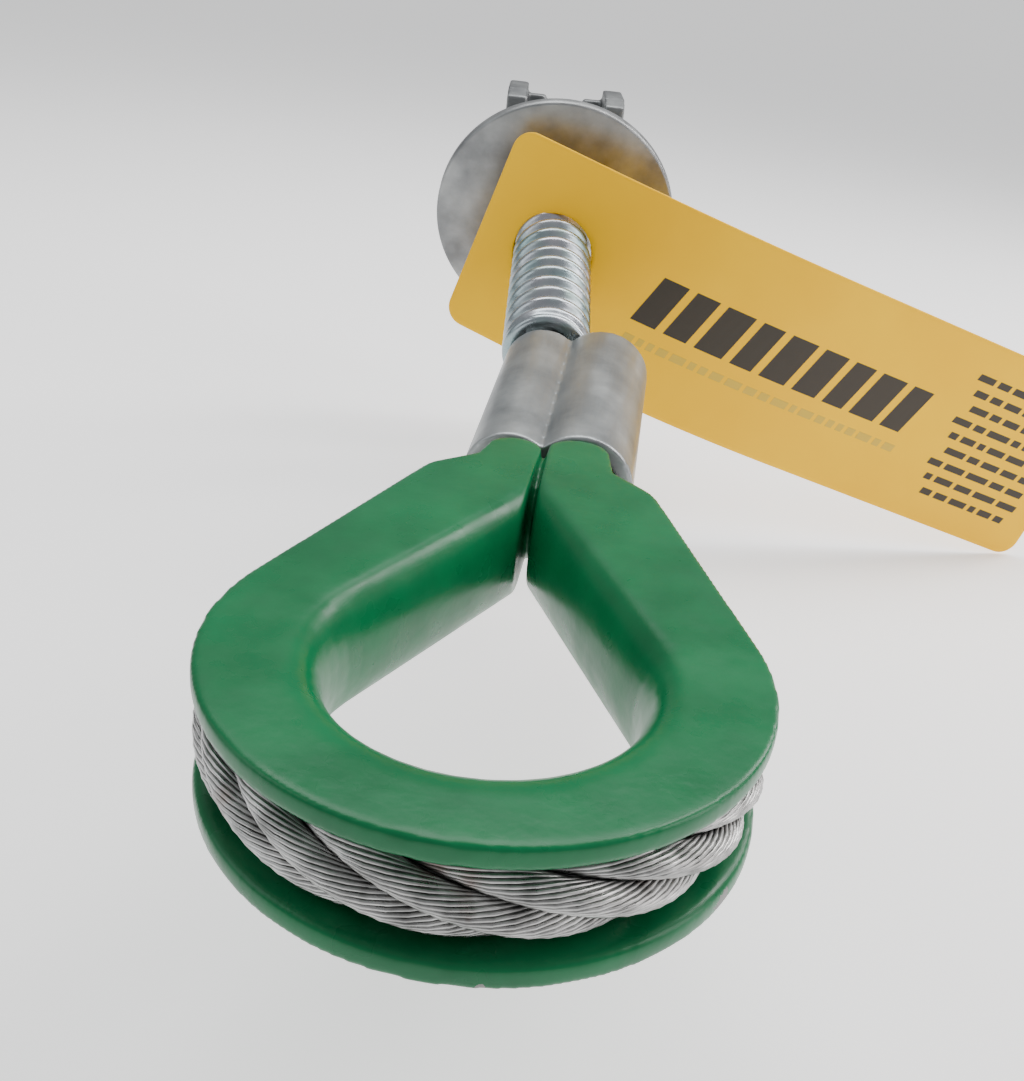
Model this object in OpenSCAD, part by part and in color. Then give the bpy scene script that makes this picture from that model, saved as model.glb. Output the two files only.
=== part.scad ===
// Wire-rope thimble eye on a coarse-threaded toggle anchor.
// Z is square to the thimble's faces, Y runs from the eye to the anchor end,
// and the origin is the centre of the eye's round end, at mid thickness.

/* [Rope] */
// Diameter of one laid strand
strand_d = 3.2; // [3:0.05:3.2]
// Distance from the rope's centre to a strand's centre
strand_ring = 3.35; // [3.3:0.05:3.4]

/* [Thimble] */
// Radius of the flanges around the round end
flange_r = 28.5; // [28:0.5:30]
// Thickness across both flanges
thimble_t = 15.3; // [14:0.1:17]
// Radius of the round end's inner wall at mid thickness
inner_r = 15.8; // [15:0.1:16]
// How far the inner wall rounds back to the faces
inner_round = 3.6; // [1:0.1:3.8]
// Angle of each flange's straight edge to the Y axis
flange_lean = 18.7; // [18:0.1:20]
// Angle of each inner wall to the Y axis
inner_lean = 25.5; // [24:0.5:28]

/* [Sleeve] */
// Length of the two-lobed sleeve
sleeve_l = 43; // [40:1:48]
// Radius of the lobe around the rope's live side
live_lobe_r = 6.9; // [6.4:0.1:7.2]
// Radius of the lobe around the rope's dead end
dead_lobe_r = 8; // [7.4:0.1:8.4]
// How far the sleeve tips up from the thimble
sleeve_tip = 4.5; // [0:0.5:6]

/* [Threaded shank] */
// Major diameter of the thread
shank_d = 16; // [16:0.1:16.1]
// How far the shank tips up
shank_tip = 13.5; // [10:0.5:16]
// How far the shank turns towards -X
shank_turn = 6; // [0:1:8]
// Distance from the flexing stretch to the toggle pin
pin_u = 82.8; // [82.8:0.5:90]

/* [Nut and washer] */
// Width across the nut's flats
nut_af = 24; // [22:1:27]
// Thickness of the nut
nut_t = 8; // [6:0.5:8]
// Diameter of the plate washer
washer_d = 50.8; // [45:0.1:51]
// Thickness of the plate washer
washer_t = 3; // [2:0.5:3]

/* [Toggle] */
// Width over both cheeks
toggle_w = 26; // [25:0.5:30]
// Reach of the short arm from the pin
toggle_up = 18; // [15:1:18]
// Reach of the long arm from the pin
toggle_down = 31; // [24:1:31]
// Diameter of the toggle pin
pin_d = 8; // [6:0.5:9]

/* [Tag] */
// Width of the tag
tag_w = 42; // [38:1:42]
// Length of the tag right of its hole
tag_l = 125; // [100:5:140]
// Thickness of the tag
tag_t = 0.8; // [0.6:0.1:1]

/* [Hidden] */
$fn = 96;

half_t = thimble_t / 2;
rope_r = strand_ring + strand_d / 2;   // envelope of the laid rope
groove_r = rope_r + 0.2;
slot_h = groove_r - 0.1;
path_r = flange_r - 5;                 // rope centre around the round end
path_lean = 21;                        // rope's own angle along each leg
pair_x = 5.3;                          // the rope's two sides inside the sleeve
bend_r = 24;                           // bend that brings the sides parallel
leg_l = (path_r * cos(path_lean) - pair_x - bend_r * (1 - cos(path_lean)))
    / sin(path_lean);                  // straight stretch before that bend
bend_y = path_r * sin(path_lean) + leg_l * cos(path_lean) + bend_r * sin(path_lean);
sleeve_y = 60.5;
live_x = -5.8;                         // the live side inside the sleeve
dead_lobe_x = 4.5;
stub = 2;                              // the dead end shows this much past the sleeve
hair = 0.02;
lap = 0.3;
front_round = 2.2;                     // extra rounding at the front of the eye
live_tip = [4.7, 53.6];                // round end of each thimble leg
live_tip_r = 3.9;
dead_tip = [4.1, 55.4];
dead_tip_r = 4.4;
slit_x = -0.6;                         // the gap between the legs
slit_near = 1.7;
slit_far = 0.4;
neck_gap = 2.2;                        // from the sleeve's face to the neck's centre
neck_r = 4.8;
tube_u = 1.8;                          // near face of the shank
bore_u = 67;                           // bottom of the shank's bore
bore_r = rope_r + 0.05;
rope_stop = 3;                         // the rope's bars end this far inside its bores
thread_fit = 0.03;
nut_u = 49.3;
washer_u = nut_u + nut_t + 0.1;
washer_hole_r = shank_d / 2 + 0.75;
cheek_in = shank_d / 2 + 0.6;
toggle_front = 8;                      // cheek edge on the washer's side of the pin
toggle_back = 12.2;
web_t = 3;
pin_fit = 0.04;
head_t = 2.2;
clip_t = 1.2;
tag_u = 41.3;
tag_turn = [-7, 16, -10.5];
tag_left = 16.2;
tag_drop = 0.7;                        // the hole sits this far above the middle
tag_bend_r = 151;
tag_bend_l = 60;
tag_corner = 4;
big = 80;

function arc(c, r, from, to, n) =
    [for (i = [0:n]) let (a = from + (to - from) * i / n) c + r * [cos(a), sin(a)]];

// Rest frame of the sleeve: Y along its bores, starting at its near face
module sleeve_frame() {
    translate([0, sleeve_y, 0]) rotate([sleeve_tip, 0, 0]) children();
}

neck = [live_x,
    sleeve_y + (sleeve_l + neck_gap) * cos(sleeve_tip),
    (sleeve_l + neck_gap) * sin(sleeve_tip)];
tag_hole = neck + tag_u * [-sin(shank_turn) * cos(shank_tip),
    cos(shank_turn) * cos(shank_tip), sin(shank_tip)];

// Rest frame of the shank: Y along its axis, starting at the neck's centre
module shank_frame() {
    translate(neck) rotate([0, 0, shank_turn]) rotate([shank_tip, 0, 0]) children();
}

// A cylinder along Y
module rod(r, from, to) {
    translate([0, from, 0]) rotate([-90, 0, 0]) cylinder(r = r, h = to - from);
}

// Outline of the right leg of the flanges, from the round end to its tip
module leg_outline(tip, tip_r) {
    a = flange_lean;
    polygon([[-lap, 0], [0, 0], flange_r * [cos(a), sin(a)],
        [flange_r / cos(a) - 44.5 * tan(a), 44.5],
        [tip[0] + tip_r + 0.8, 50], [tip[0] + tip_r, tip[1]], [-lap, tip[1]]]);
    translate(tip) circle(tip_r);
}

module flange_outline() {
    circle(flange_r);
    leg_outline(dead_tip, dead_tip_r);
    mirror([1, 0]) leg_outline(live_tip, live_tip_r);
}

// Everything inside the rope's centre line, which the groove leaves standing
module inside_path() {
    circle(path_r);
    for (m = [0, 1]) mirror([m, 0])
        polygon(concat([[0, 0], path_r * [cos(path_lean), sin(path_lean)]],
            arc([pair_x + bend_r, bend_y], bend_r, 180 + path_lean, 180, 12),
            [[pair_x, 70], [0, 70]]));
}

// One strand, or any round bar, laid around the eye along the rope's path.
// out moves it away from the eye's middle, rise moves it along Z, and its two
// ends stop at end_y. The straight stretches are a hair thinner than the bends
// that they run into.
module around_eye(r, out, rise, end_y) {
    start = path_r * [cos(path_lean), sin(path_lean)];
    rotate([0, 0, 180 - path_lean]) rotate_extrude(angle = 180 + 2 * path_lean)
        translate([path_r + out, rise]) circle(r);
    for (m = [0, 1]) mirror([m, 0, 0]) {
        translate([start[0], start[1], 0]) rotate([0, 0, path_lean])
            translate([out, 0, rise]) rod(r - hair, -lap, leg_l + lap);
        translate([pair_x + bend_r, bend_y, 0]) rotate([0, 0, 180])
            rotate_extrude(angle = path_lean) translate([bend_r - out, rise]) circle(r);
        translate([pair_x + out, 0, rise]) rod(r - hair, bend_y - lap, end_y);
    }
}

// The same bar's two ends inside the sleeve
module inside_sleeve(r, out, rise) {
    sleeve_frame() {
        translate([pair_x + out, 0, rise]) rod(r, 0.05, sleeve_l + stub);
        translate([live_x - out, 0, rise]) rod(r, 0.05, sleeve_l - rope_stop);
    }
}

// Outline of the hole where its wall has turned by turn degrees towards a face.
// The wall rounds back furthest at the front of the eye.
function hole_outline(turn) = concat(
    [for (i = [0:28]) let (
        a = inner_lean - i * (180 + 2 * inner_lean) / 28,
        front = pow(max(0, -sin(a)), 1.5),
        r = inner_r + (inner_round + front * front_round) * (1 - cos(turn)))
        r * [cos(a), sin(a)]],
    [[0, (inner_r + inner_round * (1 - cos(turn))) / sin(inner_lean)]]);

module eye_hole() {
    turns = [for (t = [-90:15:90]) t];
    rings = concat([[for (p = hole_outline(90)) [p[0], p[1], -half_t - 1]]],
        [for (t = turns) [for (p = hole_outline(t)) [p[0], p[1], half_t * sin(t)]]],
        [[for (p = hole_outline(90)) [p[0], p[1], half_t + 1]]]);
    n = len(rings[0]);
    top = len(rings) - 1;
    polyhedron(
        points = [for (ring = rings) each ring],
        faces = concat(
            [[for (i = [0:n - 1]) n - 1 - i]],
            [for (k = [0:top - 1], i = [0:n - 1]) let (j = (i + 1) % n)
                each [[k * n + i, (k + 1) * n + i, (k + 1) * n + j],
                    [k * n + i, (k + 1) * n + j, k * n + j]]],
            [[for (i = [0:n - 1]) top * n + i]]));
}

module thimble() {
    color("seagreen") difference() {
        translate([0, 0, -half_t]) linear_extrude(thimble_t) flange_outline();
        eye_hole();
        around_eye(groove_r, 0, 0, big);
        translate([0, 0, -slot_h]) linear_extrude(2 * slot_h) difference() {
            square(4 * flange_r, center = true);
            inside_path();
        }
        translate([slit_x, 0, -big / 2]) linear_extrude(big)
            polygon([[-slit_near / 2, inner_r], [slit_near / 2, inner_r],
                [slit_far / 2, big], [-slit_far / 2, big]]);
    }
}

module sleeve() {
    color("darkgray") sleeve_frame() difference() {
        union() {
            translate([live_x, 0, 0]) rod(live_lobe_r, 0, sleeve_l);
            translate([dead_lobe_x, 0, 0]) rod(dead_lobe_r, 0, sleeve_l);
        }
        for (x = [live_x, pair_x]) translate([x, 0, 0]) rod(bore_r, -1, sleeve_l + 1);
    }
}

module eye_core() {
    color("gray") {
        around_eye(strand_d / 2, 0, 0, sleeve_y - 0.2);
        inside_sleeve(strand_d / 2, 0, 0);
    }
}

module eye_strand(n) {
    a = 60 * n - 30;
    out = strand_ring * cos(a);
    rise = strand_ring * sin(a);
    color("silver") {
        around_eye(strand_d / 2, out, rise, sleeve_y - 0.4);
        inside_sleeve(strand_d / 2, out, rise);
    }
}

module rope_neck() {
    color("silver") translate(neck) sphere(neck_r);
}

module threaded_shank() {
    color("lightsteelblue") shank_frame() difference() {
        union() {
            rod(shank_d / 2, tube_u, pin_u);
            intersection() {
                rod(shank_d / 2, pin_u, pin_u + shank_d / 2);
                translate([-shank_d / 2, pin_u, 0]) rotate([0, 90, 0])
                    cylinder(d = shank_d, h = shank_d);
            }
        }
        rod(bore_r, 0, bore_u);
        translate([-shank_d, pin_u, 0]) rotate([0, 90, 0])
            cylinder(r = pin_d / 2 + pin_fit, h = 2 * shank_d);
    }
}

module shank_core() {
    color("gray") shank_frame() rod(strand_d / 2, tube_u + rope_stop + 0.2, bore_u - 0.1);
}

module shank_strand(n) {
    a = 60 * n - 30;
    color("silver") shank_frame()
        translate([strand_ring * cos(a), 0, strand_ring * sin(a)])
            rod(strand_d / 2, tube_u + rope_stop + 0.2, bore_u - 0.1);
}

module jam_nut() {
    corner_r = nut_af / sqrt(3);
    color("lightsteelblue") shank_frame() translate([0, nut_u, 0]) rotate([-90, 0, 0])
        difference() {
            intersection() {
                cylinder(r = corner_r, h = nut_t, $fn = 6);
                rotate_extrude() polygon([[0, 0], [corner_r - 1.4, 0], [corner_r, 0.8],
                    [corner_r, nut_t - 0.8], [corner_r - 1.4, nut_t], [0, nut_t]]);
            }
            translate([0, 0, -1]) cylinder(r = shank_d / 2 + thread_fit, h = nut_t + 2);
        }
}

module plate_washer() {
    color("silver") shank_frame() translate([0, washer_u, 0]) rotate([-90, 0, 0])
        difference() {
            cylinder(d = washer_d, h = washer_t);
            translate([0, 0, -1]) cylinder(r = washer_hole_r, h = washer_t + 2);
        }
}

// Rest frame of the toggle: Y away from the washer, Z up its short arm
module toggle_frame() {
    shank_frame() translate([0, pin_u, 0]) rotate([-shank_tip, 0, 0]) children();
}

module cheek_side() {
    polygon([[-toggle_front, -toggle_down + 4], [-toggle_front + 3, -toggle_down],
        [toggle_back - 2, -toggle_down], [toggle_back, -toggle_down + 3],
        [toggle_back, toggle_up - 2], [toggle_back - 2, toggle_up],
        [-toggle_front + 5, toggle_up], [-toggle_front, toggle_up - 1.5]]);
}

// The web between the cheeks, with a shallow notch in its top
module web_face() {
    w = cheek_in + 0.5;
    polygon([[-w, -toggle_down + 3], [w, -toggle_down + 3], [w, toggle_up - 2.5],
        [4.6, toggle_up - 2.5], [3.2, toggle_up - 4.5], [-3.2, toggle_up - 4.5],
        [-4.6, toggle_up - 2.5], [-w, toggle_up - 2.5]]);
}

module toggle() {
    cheek = toggle_w / 2 - cheek_in;
    color("gray") toggle_frame() difference() {
        union() {
            for (x = [-toggle_w / 2, cheek_in]) translate([x, 0, 0])
                rotate([90, 0, 90]) linear_extrude(cheek) cheek_side();
            translate([0, toggle_back, 0]) rotate([90, 0, 0])
                linear_extrude(web_t) web_face();
        }
        translate([-toggle_w, 0, 0]) rotate([0, 90, 0])
            cylinder(r = pin_d / 2 + pin_fit / 2, h = 2 * toggle_w);
    }
}

module toggle_pin() {
    end = toggle_w / 2 + clip_t + 1.4;
    color("lightgray") toggle_frame() difference() {
        rotate([0, 90, 0]) union() {
            translate([0, 0, -toggle_w / 2 - 0.05]) cylinder(d = pin_d, h = end + toggle_w / 2);
            translate([0, 0, -toggle_w / 2 - 0.05 - head_t]) cylinder(d = pin_d + 4, h = head_t);
        }
        rotate([0, 90, 0]) translate([0, 0, toggle_w / 2 + 0.1]) difference() {
            cylinder(d = pin_d + 2, h = clip_t + 0.1);
            translate([0, 0, -1]) cylinder(d = pin_d - 1.6, h = clip_t + 3);
        }
    }
}

module pin_clip() {
    color("dimgray") toggle_frame() rotate([0, 90, 0])
        translate([0, 0, toggle_w / 2 + 0.15]) difference() {
            cylinder(d = pin_d + 4.5, h = clip_t);
            translate([0, 0, -1]) cylinder(d = pin_d - 1.5, h = clip_t + 2);
            translate([-1.8, 0, -1]) cube([3.6, pin_d, clip_t + 2]);
        }
}

// A flat piece of the tag along +X from the origin, with its far corners round.
// It is a hair smaller than the bent piece that it runs into.
module tag_flat(l) {
    w = tag_w - hair;
    rotate([90, 0, 0]) translate([0, -tag_drop, -tag_t / 2 + hair / 2])
        linear_extrude(tag_t - hair) difference() {
            translate([-lap, -w / 2]) square([l + lap, w]);
            for (s = [-1, 1]) scale([1, s]) translate([l - tag_corner, w / 2 - tag_corner])
                difference() {
                    square(2 * tag_corner);
                    circle(tag_corner);
                }
        }
}

module tag() {
    bend = tag_bend_l / tag_bend_r * 180 / PI;
    color("gold") difference() {
        translate(tag_hole) rotate(tag_turn) {
            mirror([1, 0, 0]) tag_flat(tag_left);
            translate([0, tag_bend_r, 0]) rotate([0, 0, -90]) {
                rotate_extrude(angle = bend, $fn = 360)
                    translate([tag_bend_r - tag_t / 2, -tag_w / 2 - tag_drop])
                        square([tag_t, tag_w]);
                rotate([0, 0, bend]) translate([tag_bend_r, 0, 0]) rotate([0, 0, 90])
                    tag_flat(tag_l - tag_bend_l);
            }
        }
        shank_frame() rod(shank_d / 2 + 0.3, tag_u - 15, tag_u + 15);
    }
}

thimble();
sleeve();
eye_core();
eye_strand(1);  // eye_strand_1
eye_strand(2);  // eye_strand_2
eye_strand(3);  // eye_strand_3
eye_strand(4);  // eye_strand_4
eye_strand(5);  // eye_strand_5
eye_strand(6);  // eye_strand_6
rope_neck();
threaded_shank();
shank_core();
shank_strand(1);  // shank_strand_1
shank_strand(2);  // shank_strand_2
shank_strand(3);  // shank_strand_3
shank_strand(4);  // shank_strand_4
shank_strand(5);  // shank_strand_5
shank_strand(6);  // shank_strand_6
plate_washer();
jam_nut();
tag();
toggle();
toggle_pin();
pin_clip();
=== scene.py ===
import math
import random

import bmesh
import bpy
from mathutils import Matrix, Vector


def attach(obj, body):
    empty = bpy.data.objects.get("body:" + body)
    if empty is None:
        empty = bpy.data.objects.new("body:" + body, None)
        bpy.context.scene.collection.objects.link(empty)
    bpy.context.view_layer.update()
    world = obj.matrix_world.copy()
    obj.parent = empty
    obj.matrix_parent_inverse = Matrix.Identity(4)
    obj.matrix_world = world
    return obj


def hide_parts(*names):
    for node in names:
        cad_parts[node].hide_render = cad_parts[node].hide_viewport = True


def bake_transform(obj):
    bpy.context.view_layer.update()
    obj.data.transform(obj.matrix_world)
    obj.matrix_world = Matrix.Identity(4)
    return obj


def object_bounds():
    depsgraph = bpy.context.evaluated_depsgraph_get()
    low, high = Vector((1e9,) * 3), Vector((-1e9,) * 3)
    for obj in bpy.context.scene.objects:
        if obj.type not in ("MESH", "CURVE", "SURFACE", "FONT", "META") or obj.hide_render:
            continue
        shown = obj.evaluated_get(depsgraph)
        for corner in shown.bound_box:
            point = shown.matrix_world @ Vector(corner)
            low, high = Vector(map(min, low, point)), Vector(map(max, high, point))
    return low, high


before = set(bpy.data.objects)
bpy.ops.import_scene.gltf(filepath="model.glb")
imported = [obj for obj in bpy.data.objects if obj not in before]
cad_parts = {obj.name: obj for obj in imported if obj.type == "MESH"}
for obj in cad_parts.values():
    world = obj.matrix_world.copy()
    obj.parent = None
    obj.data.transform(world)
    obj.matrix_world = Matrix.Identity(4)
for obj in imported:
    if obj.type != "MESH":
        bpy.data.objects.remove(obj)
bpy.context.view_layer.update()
MM = 0.001
random.seed(7)

# ---- Sizes and places, in millimetres, as the frame has them ----
# Rope: its path around the eye and through the sleeve
PATH_R, PATH_LEAN, PAIR_X, BEND_R = 23.5, math.radians(21), 5.3, 24.0
ROPE_LAY, LAY_HAND, FIRST_PHASE = 63.0, 1, math.radians(20)
# Sleeve, and the flexing neck behind it
SLEEVE_Y, SLEEVE_L, STUB, LIVE_X = 60.5, 43.0, 2.0, -5.8
NECK_U, NECK_LAP, NECK_FAR = 45.2, 2.0, 5
# Thimble: the slit between its legs, and the outside corner of each leg
SLIT_X, BRIDGE_HALF = -0.6, 1.5
SHOULDER, SHOULDER_R = Vector((15.03, 44.5)), 18.0
LEG_WAY, TIP_WAY = Vector((0.3206, -0.9472)), Vector((-0.721, 0.693))
# Shank, from its mouth to the toggle's pin
SHANK_R, BORE_R, BORE_U, MOUTH_U, PIN_U = 8.0, 5.0, 67.0, 1.8, 82.8
PIN_HOLE_R, DRILL_HALF = 4.04, 12
THREAD_FINE, THREAD_TO = 0.25, 75
# Washer
WASHER_U, WASHER_T, WASHER_R, WASHER_HOLE_R = 57.4, 3.0, 25.4, 8.75
# Tag, whose bend starts at its hole
TAG_U, TAG_W, TAG_DROP, TAG_LEFT, TAG_RIGHT = 41.3, 42.0, 0.7, 16.2, 125.0
TAG_BEND_R, TAG_BEND_L, TAG_CORNER, TAG_HOLE_R, TAG_T = 151.0, 60.0, 4.0, 8.3, 0.8
# Bare spots in the green paint: where, and how wide
CHIPS = [((25.2, -13.4, -7.2), 1.3), ((-27.6, -6.6, 6.9), 0.6), ((5.0, -28.1, -7.2), 0.4),
         ((-22.4, 19.4, 6.8), 0.5), ((-14.0, -24.4, -7.0), 0.35)]


def turned(axis, degrees):
    return Matrix.Rotation(math.radians(degrees), 4, axis)


def to_metres(place):
    scaled = place.copy()
    scaled.translation = place.translation * MM
    return scaled


sleeve_place = Matrix.Translation((0, SLEEVE_Y, 0)) @ turned("X", 4.5)
neck = sleeve_place @ Vector((LIVE_X, NECK_U, 0))
shank_place = Matrix.Translation(neck) @ turned("Z", 6) @ turned("X", 13.5)
tag_place = (Matrix.Translation(shank_place @ Vector((0, TAG_U, 0)))
             @ turned("Z", -10.5) @ turned("Y", 16) @ turned("X", -7))


# ---- Shader and geometry trees ----
class Tree:
    """A node tree that is written one node at a time."""

    def __init__(self, tree):
        self.tree = tree

    def put(self, socket, value):
        """Links a value that another node makes, or sets a constant."""
        if isinstance(value, bpy.types.Node):
            value = value.outputs[0]
        if isinstance(value, bpy.types.NodeSocket):
            self.tree.links.new(value, socket)
        else:
            socket.default_value = value

    def add(self, kind, *inputs, **settings):
        node = self.tree.nodes.new(kind)
        named = settings.pop("sockets", {})
        for key, value in settings.items():
            setattr(node, key, value)
        for key, value in [*enumerate(inputs), *named.items()]:
            self.put(node.inputs[key], value)
        return node

    def math(self, operation, *inputs):
        return self.add("ShaderNodeMath", *inputs, operation=operation).outputs[0]

    def vector(self, operation, *inputs):
        node = self.add("ShaderNodeVectorMath", operation=operation)
        for i, value in enumerate(inputs):
            self.put(node.inputs[3 if operation == "SCALE" and i == 1 else i], value)
        return node.outputs[1 if operation in ("LENGTH", "DISTANCE") else 0]


class Finish(Tree):
    """A material whose patterns read object coordinates, in metres."""

    def __init__(self, name, color, **sockets):
        self.material = bpy.data.materials.new(name)
        self.material.use_nodes = True
        super().__init__(self.material.node_tree)
        self.shader = self.tree.nodes["Principled BSDF"]
        self.set("Base Color", (*color, 1))
        for key, value in sockets.items():
            self.set(key.replace("_", " "), value)
        self.place = self.add("ShaderNodeTexCoord").outputs["Object"]
        self.material.diffuse_color = (*color, 1)

    def set(self, key, value):
        self.put(self.shader.inputs[key], value)

    def stretched(self, place, scale):
        """Object coordinates in the frame of a place, stretched by scale."""
        inverse = to_metres(place).inverted()
        return self.add(
            "ShaderNodeMapping", self.place,
            tuple(move * by for move, by in zip(inverse.translation, scale)),
            tuple(inverse.to_euler()), tuple(scale), vector_type="POINT").outputs[0]

    def noise(self, scale, detail=3.0, roughness=0.55, at=None):
        return self.add("ShaderNodeTexNoise", sockets={
            "Vector": self.place if at is None else at, "Scale": scale,
            "Detail": detail, "Roughness": roughness}).outputs[0]

    def ramp(self, value, low, high, start=0.0, end=1.0):
        return self.add("ShaderNodeMapRange", value, low, high, start, end).outputs[0]

    def mix(self, share, a, b):
        """Colour a where share is 0 and colour b where it is 1."""
        node = self.add("ShaderNodeMix", share, data_type="RGBA")
        for i, value in ((6, a), (7, b)):
            self.put(node.inputs[i], (*value, 1) if isinstance(value, tuple) else value)
        return node.outputs[2]

    def bump(self, height, distance, strength=1.0, under=None):
        node = self.add("ShaderNodeBump", sockets={
            "Height": height, "Strength": strength, "Distance": distance})
        if under is not None:
            self.put(node.inputs["Normal"], under)
        self.set("Normal", node)
        return node.outputs[0]


# ---- Finishes ----
def green_enamel():
    f = Finish("green_enamel", (0.001, 0.13, 0.042), Roughness=0.3,
               Specular_IOR_Level=0.26)
    body = f.mix(f.ramp(f.noise(90, 4), 0.35, 0.7),
                 (0.0005, 0.105, 0.034), (0.0015, 0.145, 0.047))
    bare = None
    for spot, size in CHIPS:
        ragged = 0.45 * size * MM
        reach = f.math("ADD", f.vector("DISTANCE", f.place, tuple(v * MM for v in spot)),
                       f.ramp(f.noise(900, 3), 0.3, 0.7, -ragged, ragged))
        inside = f.math("LESS_THAN", reach, size * MM)
        bare = inside if bare is None else f.math("MAXIMUM", bare, inside)
    f.set("Base Color", f.mix(bare, body, (0.24, 0.24, 0.23)))
    f.set("Roughness", f.math("MAXIMUM", f.math("MULTIPLY", bare, 0.6),
                              f.ramp(f.noise(160, 3), 0.3, 0.7, 0.24, 0.38)))
    peel = f.math("ADD", f.noise(520, 2), f.math("MULTIPLY", f.noise(150, 2), 1.6))
    low = f.bump(peel, 0.00006, 0.6)
    f.bump(f.math("SUBTRACT", 1.0, bare), 0.00012, 1.0, under=low)
    return f.material


def drawn_wire():
    f = Finish("drawn_wire", (0.3, 0.3, 0.29), Metallic=0.95, Roughness=0.34)
    grey = f.mix(f.ramp(f.noise(340, 4), 0.3, 0.72), (0.2, 0.2, 0.195), (0.58, 0.58, 0.57))
    f.set("Base Color", f.mix(f.ramp(f.noise(130, 5), 0.62, 0.78, 0.0, 0.75),
                              grey, (0.2, 0.12, 0.1)))
    f.set("Roughness", f.ramp(f.noise(700, 2), 0.3, 0.7, 0.24, 0.46))
    return f.material


def pressed_steel():
    f = Finish("pressed_sleeve_steel", (0.42, 0.44, 0.45), Metallic=0.85, Roughness=0.42)
    drawn = f.noise(260, 5, at=f.stretched(sleeve_place, (1.0, 0.12, 1.0)))
    grey = f.mix(f.ramp(f.noise(110, 5), 0.35, 0.68), (0.2, 0.215, 0.22), (0.38, 0.4, 0.4))
    f.set("Base Color", f.mix(f.ramp(drawn, 0.42, 0.7, 0.0, 0.6), grey, (0.36, 0.38, 0.38)))
    f.set("Roughness", f.ramp(drawn, 0.3, 0.7, 0.5, 0.3))
    f.bump(f.math("ADD", drawn, f.noise(420, 3)), 0.00005, 0.5)
    return f.material


def bright_zinc():
    f = Finish("bright_zinc", (0.5, 0.58, 0.6), Metallic=0.95, Roughness=0.26)
    tint = f.mix(f.ramp(f.noise(75, 2), 0.35, 0.65), (0.24, 0.34, 0.35), (0.46, 0.45, 0.49))
    f.set("Base Color", f.mix(f.ramp(f.noise(210, 4), 0.55, 0.75, 0.0, 0.6),
                              tint, (0.2, 0.31, 0.26)))
    f.set("Roughness", f.ramp(f.noise(420, 3), 0.3, 0.7, 0.2, 0.36))
    f.bump(f.noise(650, 3), 0.00003, 0.5)
    return f.material


def dull_zinc(name, dark, light, rough):
    f = Finish(name, light, Metallic=0.85, Roughness=rough)
    f.set("Base Color", f.mix(f.ramp(f.noise(120, 5), 0.32, 0.7), dark, light))
    f.set("Roughness", f.ramp(f.noise(300, 4), 0.3, 0.7, rough - 0.08, rough + 0.08))
    f.bump(f.noise(500, 4), 0.00004, 0.5)
    return f.material


def soft_vinyl():
    f = Finish("yellow_vinyl", (0.8, 0.45, 0.0), Roughness=0.5, Specular_IOR_Level=0.1)
    f.set("Base Color", f.mix(f.ramp(f.noise(28, 3), 0.35, 0.7),
                              (0.93, 0.5, 0.0), (1.0, 0.57, 0.0)))
    low = f.bump(f.noise(60, 2), 0.0005, 0.25)
    f.bump(f.noise(900, 2), 0.00002, 0.4, under=low)
    return f.material


def plain(name, color, **sockets):
    return Finish(name, color, **sockets).material


ENAMEL, WIRE, SLEEVE, ZINC = green_enamel(), drawn_wire(), pressed_steel(), bright_zinc()
VINYL = soft_vinyl()
WASHER = dull_zinc("dull_washer_zinc", (0.17, 0.175, 0.18), (0.32, 0.33, 0.33), 0.45)
PLATE = dull_zinc("toggle_plate_steel", (0.13, 0.135, 0.14), (0.25, 0.26, 0.26), 0.46)
PIN = dull_zinc("turned_pin_steel", (0.25, 0.25, 0.26), (0.42, 0.42, 0.42), 0.3)
SPRING = dull_zinc("dark_spring_steel", (0.07, 0.07, 0.075), (0.16, 0.16, 0.165), 0.38)
CORE = dull_zinc("rope_core_steel", (0.2, 0.2, 0.2), (0.4, 0.4, 0.4), 0.45)
INK = plain("faded_ink", (0.03, 0.022, 0.012), Roughness=0.6)
PALE_INK = plain("pale_ink", (0.62, 0.4, 0.02), Roughness=0.6)


# ---- Pieces ----
def piece(name, mesh, material, smooth=True):
    ob = bpy.data.objects.new(name, mesh)
    bpy.context.scene.collection.objects.link(ob)
    mesh.materials.clear()
    mesh.materials.append(material)
    mesh.polygons.foreach_set("use_smooth", [smooth] * len(mesh.polygons))
    return ob


def mesh_of(name, bm):
    mesh = bpy.data.meshes.new(name)
    bm.to_mesh(mesh)
    bm.free()
    return mesh


def evaluated_mesh(ob):
    bpy.context.view_layer.update()
    evaluated = ob.evaluated_get(bpy.context.evaluated_depsgraph_get())
    return bpy.data.meshes.new_from_object(evaluated)


def settled(ob):
    """The object with its modifiers made part of its mesh."""
    mesh = evaluated_mesh(ob)
    ob.modifiers.clear()
    ob.data = mesh
    return ob


def fitted(ob, body, slot, *nodes):
    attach(ob, body)
    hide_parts(*nodes)
    return ob


def softened(name, node, grain, passes, material, shaped=None):
    """A copy of a frame node with the soft edges of a pressed or painted part."""
    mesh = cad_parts[node].data.copy()
    bm = bmesh.new()
    bm.from_mesh(mesh)
    bmesh.ops.remove_doubles(bm, verts=bm.verts, dist=2e-6)
    if shaped:
        shaped(bm)
    bm.to_mesh(mesh)
    bm.free()
    ob = piece(name, mesh, material)
    fine = ob.modifiers.new("fine", "REMESH")
    fine.mode, fine.voxel_size, fine.use_smooth_shade = "VOXEL", grain * MM, True
    soft = ob.modifiers.new("soft", "SMOOTH")
    soft.factor, soft.iterations = 0.5, passes
    settled(ob)
    ob.data.materials.clear()
    ob.data.materials.append(material)
    return ob


def round_section(along, radius, angle):
    return radius * math.cos(angle), radius * math.sin(angle)


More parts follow.
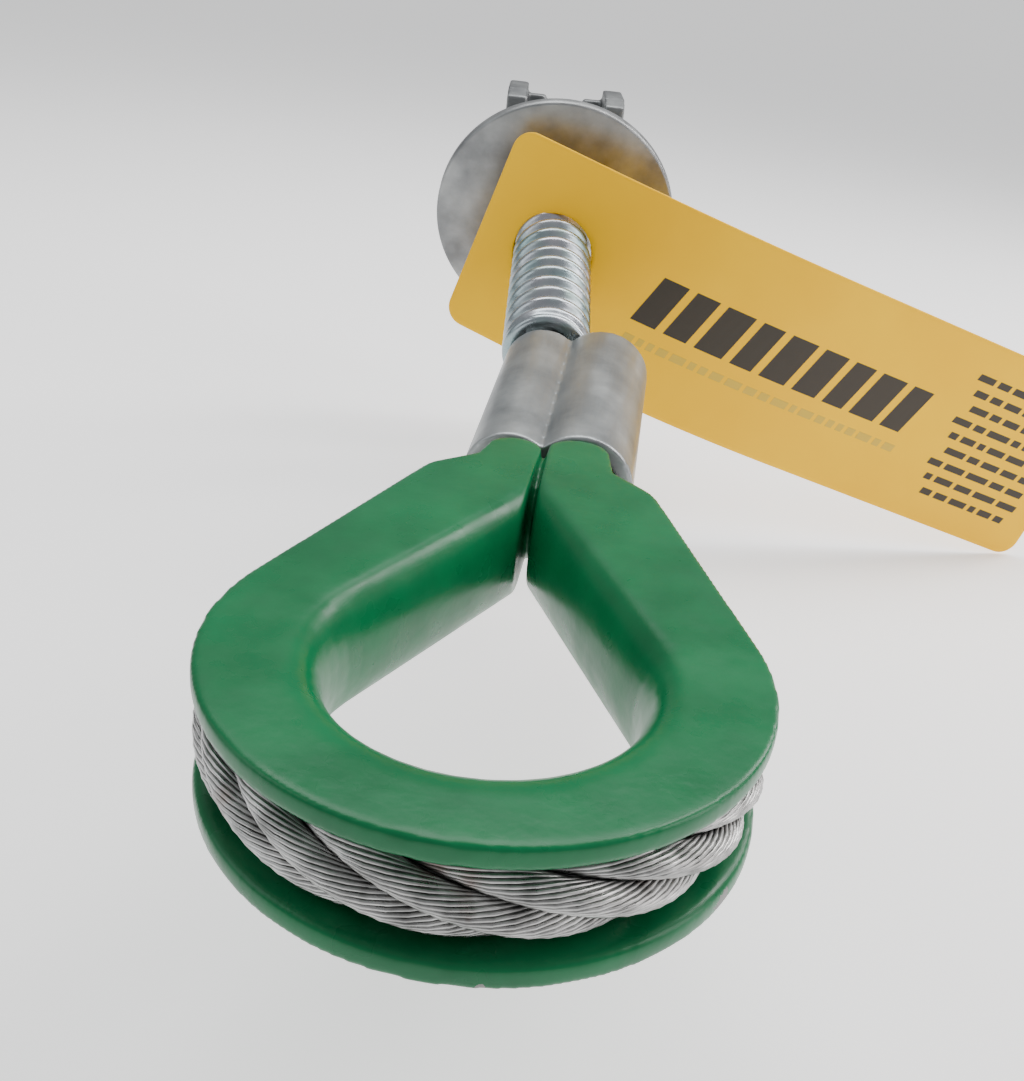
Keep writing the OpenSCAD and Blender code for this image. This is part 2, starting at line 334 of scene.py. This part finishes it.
def lathe(name, profile, sides, material, place, section=round_section):
    """A body about Y. profile runs as (along, radius), and section shapes each ring."""
    bm = bmesh.new()
    rings = []
    for along, radius in profile:
        if radius < 1e-6:
            rings.append([bm.verts.new((0, along * MM, 0))] * sides)
            continue
        ring = []
        for i in range(sides):
            x, z = section(along, radius, math.tau * i / sides)
            ring.append(bm.verts.new((x * MM, along * MM, z * MM)))
        rings.append(ring)
    for a, b in zip(rings, rings[1:]):
        for i in range(sides):
            j = (i + 1) % sides
            corners = list(dict.fromkeys([a[i], a[j], b[j], b[i]]))
            if len(corners) > 2:
                bm.faces.new(corners)
    bmesh.ops.remove_doubles(bm, verts=bm.verts, dist=1e-7)
    bmesh.ops.recalc_face_normals(bm, faces=bm.faces)
    ob = piece(name, mesh_of(name, bm), material)
    ob.data.transform(place)
    return ob


# ---- Geometry trees for what repeats ----
def new_tree(name, sizes):
    tree = bpy.data.node_groups.new(name, "GeometryNodeTree")
    face = tree.interface
    face.new_socket("Geometry", in_out="INPUT", socket_type="NodeSocketGeometry")
    for label, value in sizes.items():
        kind = {int: "NodeSocketInt", float: "NodeSocketFloat"}.get(
            type(value), "NodeSocketMaterial")
        face.new_socket(label, in_out="INPUT", socket_type=kind)
    face.new_socket("Geometry", in_out="OUTPUT", socket_type="NodeSocketGeometry")
    return Tree(tree)


def run_tree(ob, tree, sizes):
    """The mesh that a geometry tree makes of ob with these sizes."""
    modifier = ob.modifiers.new(tree.tree.name, "NODES")
    modifier.node_group = tree.tree
    for item in tree.tree.interface.items_tree:
        if item.in_out == "INPUT" and item.name in sizes:
            modifier[item.identifier] = sizes[item.name]
    mesh = evaluated_mesh(ob)
    ob.modifiers.clear()
    return mesh


ROPE_SIZES = {"Step": 1.5 * MM, "Strands": 1, "Strand Ring": 3.35 * MM,
              "Rope Lay": ROPE_LAY * MM, "Phase": 0.0, "Wires": 18,
              "Wire Ring": 1.36 * MM, "Wire Lay": 26.0 * MM, "Wire Radius": 0.24 * MM,
              "Finish": WIRE}


def laid_rope_tree():
    """Lays strands around a path, and wires around each strand the other way."""
    t = new_tree("laid_rope", ROPE_SIZES)
    size = {s.name: s for s in t.add("NodeGroupInput").outputs}

    def laid(curve, count, ring, lay, phase, hand):
        """count copies of the curve, each wound around where it was."""
        copies = t.add("GeometryNodeDuplicateElements", domain="SPLINE",
                       sockets={"Geometry": curve, "Amount": count})
        along = t.add("GeometryNodeSplineParameter").outputs["Length"]
        normal = t.add("GeometryNodeInputNormal").outputs[0]
        across = t.vector("CROSS_PRODUCT", t.add("GeometryNodeInputTangent"), normal)
        turn = t.math("MULTIPLY", t.math("DIVIDE", along, lay), hand * math.tau)
        share = t.math("MULTIPLY", t.math("DIVIDE", copies.outputs["Duplicate Index"],
                                          count), math.tau)
        angle = t.math("ADD", t.math("ADD", turn, share), phase)
        out = t.vector("ADD", t.vector("SCALE", normal, t.math("COSINE", angle)),
                       t.vector("SCALE", across, t.math("SINE", angle)))
        return t.add("GeometryNodeSetPosition", sockets={
            "Geometry": copies, "Offset": t.vector("SCALE", out, ring)})

    even = t.add("GeometryNodeResampleCurve", mode="LENGTH", sockets={
        "Curve": size["Geometry"], "Length": size["Step"]})
    upright = t.add("GeometryNodeSetCurveNormal", mode="Z_UP", sockets={"Curve": even})
    strands = laid(upright, size["Strands"], size["Strand Ring"], size["Rope Lay"],
                   size["Phase"], LAY_HAND)
    wires = laid(strands, size["Wires"], size["Wire Ring"], size["Wire Lay"], 0.0,
                 -LAY_HAND)
    section = t.add("GeometryNodeCurvePrimitiveCircle", sockets={
        "Resolution": 6, "Radius": size["Wire Radius"]})
    round_wire = t.add("GeometryNodeCurveToMesh", sockets={
        "Curve": wires, "Profile Curve": section, "Fill Caps": True})
    smooth = t.add("GeometryNodeSetShadeSmooth", sockets={"Geometry": round_wire})
    real = t.add("GeometryNodeRealizeInstances", sockets={"Geometry": smooth})
    done = t.add("GeometryNodeSetMaterial", sockets={
        "Geometry": real, "Material": size["Finish"]})
    t.add("NodeGroupOutput", done)
    return t


laid_rope = laid_rope_tree()


def rope_piece(name, points, **sizes):
    """Strands laid along points, which are in millimetres."""
    curve = bpy.data.curves.new(name + "_path", "CURVE")
    curve.dimensions = "3D"
    spline = curve.splines.new("POLY")
    spline.points.add(len(points) - 1)
    for dot, point in zip(spline.points, points):
        dot.co = (*(Vector(point) * MM), 1)
    path = bpy.data.objects.new(name + "_path", curve)
    bpy.context.scene.collection.objects.link(path)
    mesh = run_tree(path, laid_rope, {**ROPE_SIZES, **sizes})
    bpy.data.objects.remove(path)
    return piece(name, mesh, WIRE)


def length_of(points):
    return sum((Vector(b) - Vector(a)).length for a, b in zip(points, points[1:]))


def lay_turn(points):
    """How far the strands turn about the rope along these points."""
    return LAY_HAND * math.tau * length_of(points) / ROPE_LAY


def eye_path():
    """The rope's centre from its dead end, around the eye, to the sleeve's far face."""
    leg = (PATH_R * math.cos(PATH_LEAN) - PAIR_X - BEND_R * (1 - math.cos(PATH_LEAN))
           ) / math.sin(PATH_LEAN)
    bend_y = (PATH_R + BEND_R) * math.sin(PATH_LEAN) + leg * math.cos(PATH_LEAN)
    half = [sleeve_place @ Vector((PAIR_X, y, 0)) for y in (SLEEVE_L + STUB, 30, 15, 3)]
    in_sleeve = len(half)
    half += [Vector((PAIR_X + BEND_R * (1 - math.cos(a)), bend_y - BEND_R * math.sin(a), 0))
             for a in (PATH_LEAN * i / 8 for i in range(9))]
    start = Vector((PATH_R * math.cos(PATH_LEAN), PATH_R * math.sin(PATH_LEAN), 0))
    half += [half[-1].lerp(start, i / 12) for i in range(1, 12)]
    sweep = math.pi / 2 + PATH_LEAN
    half += [Vector((PATH_R * math.cos(PATH_LEAN - sweep * i / 45),
                     PATH_R * math.sin(PATH_LEAN - sweep * i / 45), 0))
             for i in range(46)]
    back = [Vector((-p.x, p.y, p.z)) for p in reversed(half[in_sleeve:-1])]
    back += [sleeve_place @ Vector((LIVE_X, y, 0))
             for y in (5, 15, 30, SLEEVE_L - NECK_LAP)]
    return half + back


# ---- Thimble and sleeve ----
def bridged_with_paint(bm):
    """Paint that has run between the thimble's legs, a little below their faces."""
    side_view = [(42.3, 0), (43.4, 3), (46, 5.2), (50.5, 6.2), (54, 6.2),
                 (54, -6.2), (50.5, -6.2), (46, -5.2), (43.4, -3)]
    ends = [[bm.verts.new(((SLIT_X + x) * MM, y * MM, z * MM)) for y, z in side_view]
            for x in (-BRIDGE_HALF, BRIDGE_HALF)]
    bm.faces.new(ends[0])
    bm.faces.new(list(reversed(ends[1])))
    for i in range(len(side_view)):
        j = (i + 1) % len(side_view)
        bm.faces.new([ends[0][j], ends[0][i], ends[1][i], ends[1][j]])


def round_shoulders(ob):
    """Rounds the outside corner of each flange's leg."""
    inward = (LEG_WAY + TIP_WAY).normalized()
    slope = math.sin(LEG_WAY.angle(TIP_WAY) / 2)
    centre = SHOULDER + inward * SHOULDER_R / slope
    reach = (SHOULDER - centre).length
    for vert in ob.data.vertices:
        away = Vector((abs(vert.co.x), vert.co.y)) / MM - centre
        beside = away.dot(-inward) < away.length * slope
        if not beside and SHOULDER_R < away.length < reach + 1:
            rounded = centre + away * (SHOULDER_R / away.length)
            vert.co.x = math.copysign(rounded.x * MM, vert.co.x)
            vert.co.y = rounded.y * MM


thimble = softened("painted_thimble", "thimble", 0.36, 16, ENAMEL, bridged_with_paint)
round_shoulders(thimble)
fitted(thimble, "eye", "green_paint", "thimble")
sleeve = softened("pressed_sleeve", "sleeve", 0.32, 9, SLEEVE)
fitted(sleeve, "eye", "sleeve_steel", "sleeve")

# ---- Rope: around the eye, then through the flexing neck ----
around = eye_path()
for n in range(6):
    phase = math.radians(60 * n) + FIRST_PHASE
    strand = rope_piece(f"wound_strand_{n + 1}", around, Phase=phase)
    fitted(strand, "eye", "rope_steel", f"eye_strand_{n + 1}")

turned_by = FIRST_PHASE + lay_turn(around)
near_neck = [sleeve_place @ Vector((LIVE_X, y, 0))
             for y in (SLEEVE_L - NECK_LAP, SLEEVE_L, SLEEVE_L + 1, NECK_U)]
near_rope = rope_piece("neck_rope_near", near_neck, Strands=6, Phase=turned_by,
                       Step=1.0 * MM)
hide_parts("rope_neck")
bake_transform(near_rope)
turned_by += lay_turn(near_neck)
far_neck = [shank_place @ Vector((0, u, 0)) for u in range(NECK_FAR + 1)]
far_rope = rope_piece("neck_rope_far", far_neck, Strands=6, Phase=turned_by,
                      Step=0.98 * MM)
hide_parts("rope_neck")
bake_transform(far_rope)
for node in ["eye_core", "shank_core"] + [f"shank_strand_{n}" for n in range(1, 7)]:
    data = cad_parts[node].data
    data.materials.clear()
    data.materials.append(CORE if "core" in node else WIRE)

# ---- Threaded shank ----
THREAD_SIZES = {"Pitch": 4.0 * MM, "Depth": 1.25 * MM, "Start": 2.6 * MM,
                "End": 72.0 * MM, "Fade": 2.0 * MM, "Outer": 7.2 * MM, "Finish": ZINC}


def rolled_thread_tree():
    """Presses a round right-hand thread into the outside of a bar along Y."""
    t = new_tree("rolled_thread", THREAD_SIZES)
    size = {s.name: s for s in t.add("NodeGroupInput").outputs}
    spot = t.add("ShaderNodeSeparateXYZ", t.add("GeometryNodeInputPosition")).outputs
    radius = t.math("SQRT", t.math("ADD", t.math("MULTIPLY", spot[0], spot[0]),
                                   t.math("MULTIPLY", spot[2], spot[2])))
    around_it = t.math("ARCTAN2", spot[2], spot[0])
    turns = t.math("ADD", t.math("DIVIDE", spot[1], size["Pitch"]),
                   t.math("DIVIDE", around_it, math.tau))
    wave = t.math("MULTIPLY_ADD", t.math("COSINE", t.math("MULTIPLY", turns, math.tau)),
                  0.5, 0.5)
    root = t.math("POWER", wave, 1.3)
    fade_in = t.add("ShaderNodeMapRange", spot[1], size["Start"],
                    t.math("ADD", size["Start"], size["Fade"]), 0.0, 1.0)
    fade_out = t.add("ShaderNodeMapRange", spot[1], size["End"],
                     t.math("ADD", size["End"], size["Fade"]), 1.0, 0.0)
    outside = t.math("GREATER_THAN", radius, size["Outer"])
    depth = t.math("MULTIPLY", t.math("MULTIPLY", root, size["Depth"]),
                   t.math("MULTIPLY", t.math("MULTIPLY", fade_in, fade_out), outside))
    out = t.vector("NORMALIZE", t.add("ShaderNodeCombineXYZ", spot[0], 0.0, spot[2]))
    moved = t.add("GeometryNodeSetPosition", sockets={
        "Geometry": size["Geometry"],
        "Offset": t.vector("SCALE", out, t.math("MULTIPLY", depth, -1.0))})
    real = t.add("GeometryNodeRealizeInstances", sockets={"Geometry": moved})
    done = t.add("GeometryNodeSetMaterial", sockets={
        "Geometry": real, "Material": size["Finish"]})
    t.add("NodeGroupOutput", done)
    return t


def shank_profile():
    """Up the bore from its closed end, out over the mouth, then along the outside."""
    profile = [(BORE_U, 0), (BORE_U, BORE_R), (40, BORE_R), (20, BORE_R),
               (MOUTH_U + 0.5, BORE_R), (MOUTH_U, BORE_R + 0.5), (MOUTH_U, 7.1),
               (MOUTH_U + 0.2, 7.5), (MOUTH_U + 0.7, 7.9)]
    along = MOUTH_U + 1.2
    while along < THREAD_TO:
        profile.append((along, SHANK_R))
        along += THREAD_FINE
    profile += [(77, SHANK_R), (PIN_U, SHANK_R)]
    profile += [(PIN_U + SHANK_R * math.sin(math.radians(a)), SHANK_R)
                for a in range(6, 90, 6)]
    profile.append((PIN_U + SHANK_R - 0.01, 0))
    return profile


def shank_section(along, radius, angle):
    """Round, but past the pin the end is also rounded about the pin."""
    x, z = round_section(along, radius, angle)
    if along > PIN_U:
        limit = math.sqrt(max(0.0, SHANK_R ** 2 - (along - PIN_U) ** 2))
        z = max(-limit, min(limit, z))
    return x, z


shank = lathe("rolled_shank", shank_profile(), 96, ZINC, Matrix.Identity(4), shank_section)
shank.data = run_tree(shank, rolled_thread_tree(), THREAD_SIZES)
drill = lathe("pin_drill", [(-DRILL_HALF, 0), (-DRILL_HALF, PIN_HOLE_R),
                            (DRILL_HALF, PIN_HOLE_R), (DRILL_HALF, 0)], 48,
              ZINC, Matrix.Translation((0, PIN_U * MM, 0)) @ turned("Z", 90))
cut = shank.modifiers.new("pin_hole", "BOOLEAN")
cut.operation, cut.object, cut.solver = "DIFFERENCE", drill, "EXACT"
settled(shank)
bpy.data.objects.remove(drill)
shank.data.transform(to_metres(shank_place))
fitted(shank, "shank", "shank_zinc", "threaded_shank")

# ---- Washer and nut ----
hole_edge, rim_edge = 0.35, 0.6
far_face = WASHER_U + WASHER_T
washer = lathe("round_washer", [
    (WASHER_U + hole_edge, WASHER_HOLE_R), (WASHER_U, WASHER_HOLE_R + hole_edge),
    (WASHER_U, 15), (WASHER_U, WASHER_R - rim_edge),
    (WASHER_U + 0.15, WASHER_R - 0.2), (WASHER_U + rim_edge, WASHER_R),
    (far_face - rim_edge, WASHER_R), (far_face - 0.15, WASHER_R - 0.2),
    (far_face, WASHER_R - rim_edge), (far_face, 15),
    (far_face, WASHER_HOLE_R + hole_edge), (far_face - hole_edge, WASHER_HOLE_R),
    (WASHER_U + hole_edge, WASHER_HOLE_R)], 128, WASHER, to_metres(shank_place))
fitted(washer, "washer", "washer_zinc", "plate_washer")
nut = softened("hex_nut", "jam_nut", 0.22, 4, ZINC)
fitted(nut, "nut", "shank_zinc", "jam_nut")

# ---- Toggle, pin and clip ----
toggle = softened("folded_toggle", "toggle", 0.35, 6, PLATE)
fitted(toggle, "toggle", "toggle_steel", "toggle")
pin = softened("turned_pin", "toggle_pin", 0.2, 3, PIN)
fitted(pin, "toggle", "pin_steel", "toggle_pin")
clip = softened("spring_clip", "pin_clip", 0.14, 3, SPRING)
fitted(clip, "toggle", "clip_steel", "pin_clip")


# ---- Tag ----
def on_tag(s, t, lift=0.0):
    """A point s along the tag from its hole and t up it, lift in front of its middle."""
    a = min(max(s, 0.0), TAG_BEND_L) / TAG_BEND_R
    x = s if s <= 0 else TAG_BEND_R * math.sin(a)
    y = TAG_BEND_R * (1 - math.cos(a))
    if s > TAG_BEND_L:
        x += (s - TAG_BEND_L) * math.cos(a)
        y += (s - TAG_BEND_L) * math.sin(a)
    x, y = x + lift * math.sin(a), y - lift * math.cos(a)
    return (tag_place @ Vector((x, y, t))) * MM


def spaced(start, end, step):
    count = max(1, round((end - start) / step))
    return [start + (end - start) * i / count for i in range(count)]


def rounded_corner(s, t, lines_s, lines_t):
    """Moves a grid point near one of the tag's corners onto the corner's round."""
    c = TAG_CORNER
    for cs in (lines_s[0] + c, lines_s[-1] - c):
        for ct in (lines_t[0] + c, lines_t[-1] - c):
            x, y = (s - cs) / c, (t - ct) / c
            if (x > 0) == (cs > 0) and (y > 0) == (ct > 0):
                return (cs + c * x * math.sqrt(1 - y * y / 2),
                        ct + c * y * math.sqrt(1 - x * x / 2))
    return s, t


def tag_sheet():
    """The bent sheet: a grid, with rings around the hole inside a square patch."""
    patch, fine, ring_steps = 12.0, 1.5, 5
    top, low = TAG_W / 2 - TAG_DROP, -TAG_W / 2 - TAG_DROP
    inner = spaced(-patch, patch, fine)
    lines_s = (spaced(-TAG_LEFT, -TAG_LEFT + TAG_CORNER, 1.0)
               + [x for x in inner if x > -TAG_LEFT + TAG_CORNER - 0.01]
               + spaced(patch, TAG_RIGHT - TAG_CORNER, 2.0)
               + spaced(TAG_RIGHT - TAG_CORNER, TAG_RIGHT, 1.0) + [TAG_RIGHT])
    lines_t = (spaced(low, low + TAG_CORNER, 1.0) + spaced(low + TAG_CORNER, -patch, fine)
               + inner + spaced(patch, top - TAG_CORNER, fine)
               + spaced(top - TAG_CORNER, top, 1.0) + [top])
    bm = bmesh.new()
    spots = {}

    def spot(s, t):
        key = (round(s, 3), round(t, 3))
        if key not in spots:
            spots[key] = bm.verts.new(on_tag(*rounded_corner(s, t, lines_s, lines_t)))
        return spots[key]

    for s0, s1 in zip(lines_s, lines_s[1:]):
        for t0, t1 in zip(lines_t, lines_t[1:]):
            if min(s0, t0) > -patch - 0.01 and max(s1, t1) < patch + 0.01:
                continue
            bm.faces.new([spot(s0, t0), spot(s1, t0), spot(s1, t1), spot(s0, t1)])
    rim = ([(x, -patch) for x in inner] + [(patch, x) for x in inner]
           + [(-x, patch) for x in inner] + [(-patch, -x) for x in inner])
    rings = []
    for k in range(ring_steps + 1):
        share = k / ring_steps
        ring = []
        for x, y in rim:
            a = math.atan2(y, x)
            px = TAG_HOLE_R * math.cos(a) * (1 - share) + x * share
            py = TAG_HOLE_R * math.sin(a) * (1 - share) + y * share
            ring.append(spot(px, py) if share == 1 else bm.verts.new(on_tag(px, py)))
        rings.append(ring)
    for a, b in zip(rings, rings[1:]):
        for i in range(len(rim)):
            j = (i + 1) % len(rim)
            bm.faces.new([a[i], b[i], b[j], a[j]])
    bmesh.ops.remove_doubles(bm, verts=bm.verts, dist=1e-6)
    bmesh.ops.recalc_face_normals(bm, faces=bm.faces)
    ob = piece("vinyl_tag", mesh_of("vinyl_tag", bm), VINYL)
    thick = ob.modifiers.new("thick", "SOLIDIFY")
    thick.thickness, thick.offset = TAG_T * MM, 0
    soft = ob.modifiers.new("soft", "BEVEL")
    soft.width, soft.segments, soft.limit_method = 0.2 * MM, 2, "ANGLE"
    return settled(ob)


def printed(name, marks, material):
    """Flat marks just off the tag's face, each (s, t, wide, high, slant)."""
    off_face = TAG_T / 2 + 0.03
    bm = bmesh.new()
    for s, t, wide, high, slant in marks:
        cuts = max(1, round(wide / 2))
        rows = [[bm.verts.new(on_tag(s + slant * up + wide * i / cuts, t + up, off_face))
                 for i in range(cuts + 1)] for up in (0.0, high)]
        for i in range(cuts):
            bm.faces.new([rows[0][i], rows[0][i + 1], rows[1][i + 1], rows[1][i]])
    ob = piece(name, mesh_of(name, bm), material, smooth=False)
    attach(ob, "tag")
    return ob


def mark_row(start, end, bottom, wide, spread, gap, high, slant):
    """Marks of random widths side by side, until the next would start past end."""
    row, s = [], start
    while s < end:
        width = wide + spread * random.random()
        row.append((s, bottom, width, high, slant))
        s += width + gap
    return row, s


def print_marks():
    """Nine bold bars, a pale line under them, and a block of small dashes."""
    bold, pale, small = [], [], []
    s = 20.0
    for k in range(9):
        wide = 4.8 + 2.4 * random.random()
        bold.append((s, -4.6, wide, 10.4, 0.28))
        s += wide + 1.8
    pale = mark_row(20.0, s - 3, -9.2, 1.2, 2.4, 0.9, 1.7, 0.2)[0]
    for row in range(9):
        small += mark_row(94.0 + 1.1 * (row % 3), 118, 12.0 - 3.4 * row,
                          1.5, 4.0, 1.0, 1.5, 0.2)[0]
    return bold, pale, small


fitted(tag_sheet(), "tag", "yellow_vinyl", "tag")
bold_marks, pale_marks, small_marks = print_marks()
printed("tag_bold_marks", bold_marks, INK)
printed("tag_pale_marks", pale_marks, PALE_INK)
printed("tag_small_marks", small_marks, INK)


# ---- Floor, light and camera ----
def soft_light(name, at, size, power, color=(1, 1, 1)):
    """A rectangular lamp that faces the middle of the eye and shank."""
    data = bpy.data.lights.new(name, "AREA")
    data.shape, data.size, data.size_y = "RECTANGLE", size[0], size[1]
    data.energy, data.color = power, color
    lamp = bpy.data.objects.new(name, data)
    lamp.location = at
    aim = Vector((0.0, 0.06, 0.0)) - Vector(at)
    lamp.rotation_euler = aim.to_track_quat("-Z", "Y").to_euler()
    bpy.context.scene.collection.objects.link(lamp)


side, level = 60.0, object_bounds()[0].z - 0.0006
floor_mesh = bpy.data.meshes.new("floor")
floor_mesh.from_pydata([(-side, -side, level), (side, -side, level), (side, side, level),
                        (-side, side, level)], [], [(0, 1, 2, 3)])
pale_floor = plain("pale_floor", (0.85, 0.85, 0.85), Roughness=1.0, Specular_IOR_Level=0.0,
                   Emission_Color=(1, 1, 1, 1), Emission_Strength=0.6)
piece("floor", floor_mesh, pale_floor, smooth=False)

soft_light("overhead", (-0.05, 0.3, 0.55), (0.5, 0.35), 3.0)
soft_light("right_back", (0.32, 0.3, 0.34), (0.12, 0.5), 2.4, (1, 0.97, 0.96))
soft_light("right_side", (0.42, 0.0, 0.2), (0.12, 0.4), 1.0, (1, 0.95, 0.95))
soft_light("left_side", (-0.45, -0.05, 0.3), (0.25, 0.4), 0.5, (0.94, 0.98, 1))
world = bpy.data.worlds.new("studio")
world.use_nodes = True
background = world.node_tree.nodes["Background"]
background.inputs["Color"].default_value = (0.97, 0.98, 1, 1)
background.inputs["Strength"].default_value = 0.42
bpy.context.scene.world = world

camera_at = Vector((9.49, -100.2, 70.25)) * MM
look_at = Vector((-2.46, 40.05, 0.0)) * MM
roll = math.radians(6.56)
forward = (look_at - camera_at).normalized()
across = forward.cross(Vector((0, 0, 1))).normalized()
upward = across.cross(forward)
cam_x = math.cos(roll) * across + math.sin(roll) * upward
cam_y = -math.sin(roll) * across + math.cos(roll) * upward
lens = bpy.data.cameras.new("camera")
lens.lens, lens.sensor_width, lens.clip_start = 40.0, 36.0, 0.005
camera = bpy.data.objects.new("camera", lens)
turn = Matrix((cam_x, cam_y, -forward)).transposed().to_4x4()
camera.matrix_world = Matrix.Translation(camera_at) @ turn
bpy.context.scene.collection.objects.link(camera)
bpy.context.scene.camera = camera
